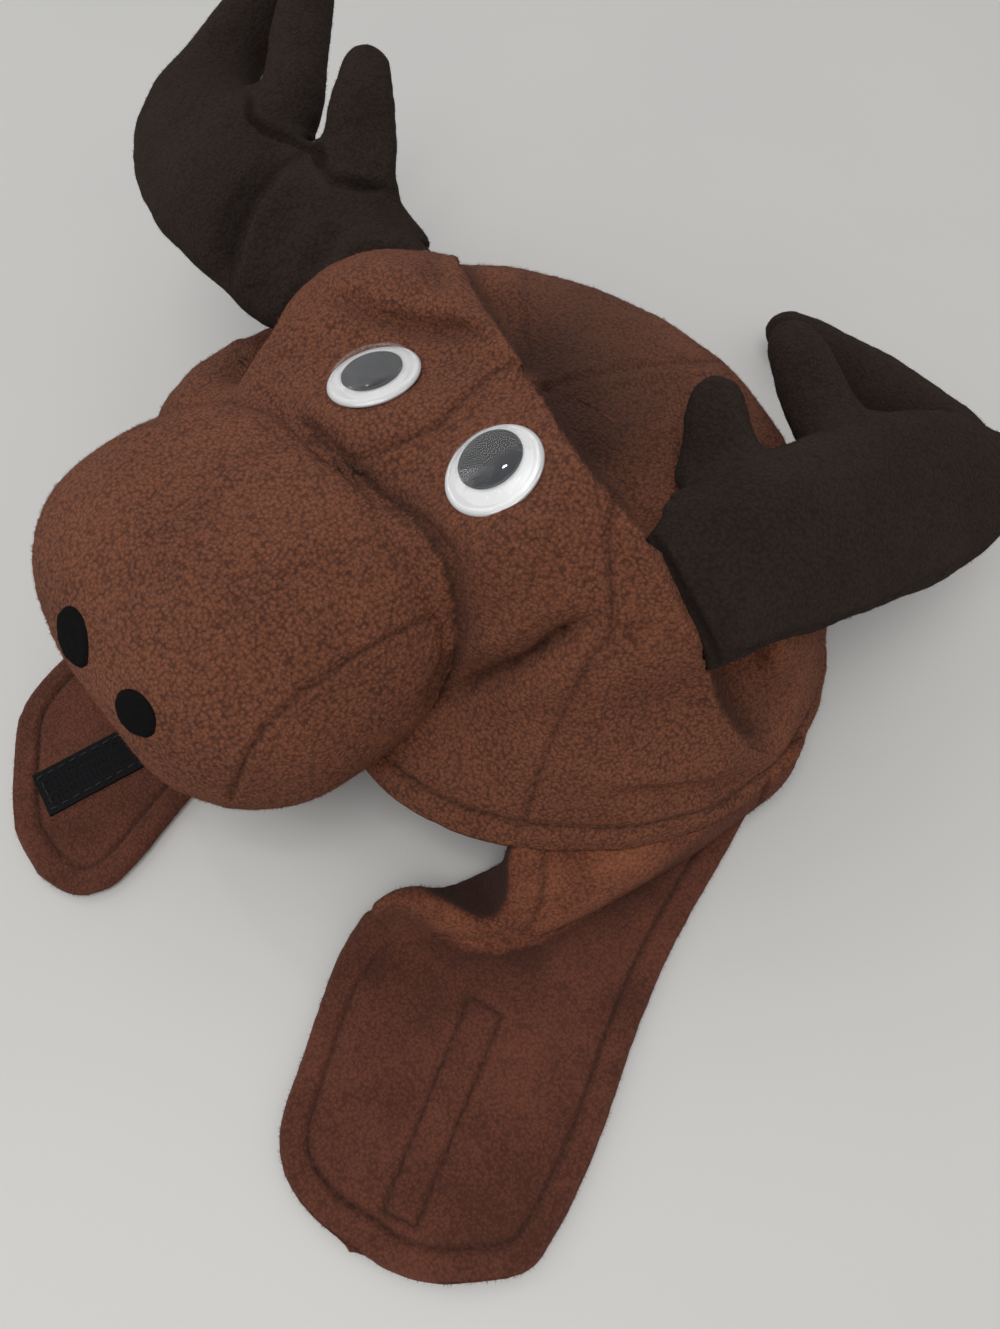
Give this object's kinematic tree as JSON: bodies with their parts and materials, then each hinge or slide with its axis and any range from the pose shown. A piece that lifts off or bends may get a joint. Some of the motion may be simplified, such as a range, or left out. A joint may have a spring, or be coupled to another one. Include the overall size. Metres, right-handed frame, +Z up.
{
  "type": "moose hat",
  "caption": "Soft fleece winter hat in the shape of a moose head, with stuffed muzzle and antlers, googly eyes and long ear flaps that fasten with hook and loop strips.",
  "frame": {"origin": "centre of the bounding box in plan, at the level the hat rests on", "axes": "+X towards the wearer's left, +Y towards the back of the head, +Z up; the face looks along -Y"},
  "size_m": [0.3718, 0.3466, 0.1248],
  "materials": {
    "fleece": "matt nubby fleece",
    "fleece_back": "matt smooth fleece",
    "antler_fleece": "matt smooth fleece",
    "eye_white": "gloss",
    "eye_pupil": "gloss",
    "eye_dome": "clear plastic",
    "nostril_felt": "felt",
    "strip": "hook and loop tape"
  },
  "bodies": {
    "root": {"crown": "fleece", "muzzle": "fleece", "antler_right": "antler_fleece", "antler_left": "antler_fleece", "ear_flap_left": "fleece_back", "ear_flap_right": "fleece_back", "eye_base_right": "eye_white", "eye_base_left": "eye_white", "eye_pupil_right": "eye_pupil", "eye_pupil_left": "eye_pupil", "eye_dome_right": "eye_dome", "eye_dome_left": "eye_dome", "nostril_right": "nostril_felt", "nostril_left": "nostril_felt", "hook_strip": "strip", "loop_strip": "strip"}
  },
  "joints": []
}
